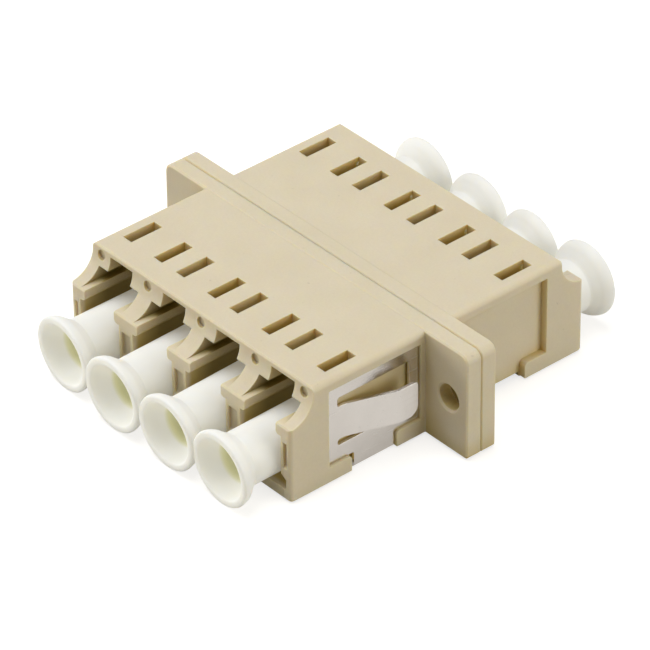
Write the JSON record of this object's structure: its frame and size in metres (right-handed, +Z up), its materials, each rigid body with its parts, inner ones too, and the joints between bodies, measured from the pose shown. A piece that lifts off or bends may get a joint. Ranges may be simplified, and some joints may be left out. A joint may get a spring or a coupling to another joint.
{
  "type": "lc fibre adapter",
  "caption": "Panel-mount fibre adapter with a row of plug ports at both ends, a screw flange, a spring panel clip and pull-out dust caps.",
  "frame": {"origin": "centre of the flange's seating face, midway between its two screw holes", "axes": "+X along the row of ports; -Y out of the end that passes through the panel; +Z up, the side with the latch slots"},
  "size_m": [0.0348, 0.0376, 0.0094],
  "materials": {
    "housing": "moulded beige, satin",
    "clip": "bright rolled sheet",
    "sleeve": "ground white ceramic",
    "cap": "soft moulded white, slightly clear"
  },
  "bodies": {
    "adapter": {"housing_front": "housing", "housing_rear": "housing", "panel_clip": "clip", "alignment_sleeve_1": "sleeve", "alignment_sleeve_2": "sleeve", "alignment_sleeve_3": "sleeve", "alignment_sleeve_4": "sleeve"},
    "dust_cap_front_1": {"dust_cap_front_1": "cap"},
    "dust_cap_front_2": {"dust_cap_front_2": "cap"},
    "dust_cap_front_3": {"dust_cap_front_3": "cap"},
    "dust_cap_front_4": {"dust_cap_front_4": "cap"},
    "dust_cap_rear_1": {"dust_cap_rear_1": "cap"},
    "dust_cap_rear_2": {"dust_cap_rear_2": "cap"},
    "dust_cap_rear_3": {"dust_cap_rear_3": "cap"},
    "dust_cap_rear_4": {"dust_cap_rear_4": "cap"}
  },
  "joints": [
    {"name": "dust_cap_front_1_pull", "type": "slide", "parent": "adapter", "child": "dust_cap_front_1", "axis": [0, -1, 0], "range_m": [-0.00053, 0.01077]},
    {"name": "dust_cap_front_2_pull", "type": "slide", "parent": "adapter", "child": "dust_cap_front_2", "axis": [0, -1, 0], "range_m": [-0.00107, 0.01023]},
    {"name": "dust_cap_front_3_pull", "type": "slide", "parent": "adapter", "child": "dust_cap_front_3", "axis": [0, -1, 0], "range_m": [-0.00104, 0.01026]},
    {"name": "dust_cap_front_4_pull", "type": "slide", "parent": "adapter", "child": "dust_cap_front_4", "axis": [0, -1, 0], "range_m": [-0.00092, 0.01038]},
    {"name": "dust_cap_rear_1_pull", "type": "slide", "parent": "adapter", "child": "dust_cap_rear_1", "axis": [0, 1, 0], "range_m": [-0.00102, 0.01028]},
    {"name": "dust_cap_rear_2_pull", "type": "slide", "parent": "adapter", "child": "dust_cap_rear_2", "axis": [0, 1, 0], "range_m": [-0.00118, 0.01012]},
    {"name": "dust_cap_rear_3_pull", "type": "slide", "parent": "adapter", "child": "dust_cap_rear_3", "axis": [0, 1, 0], "range_m": [-0.00069, 0.01061]},
    {"name": "dust_cap_rear_4_pull", "type": "slide", "parent": "adapter", "child": "dust_cap_rear_4", "axis": [0, 1, 0], "range_m": [-0.00082, 0.01048]}
  ]
}
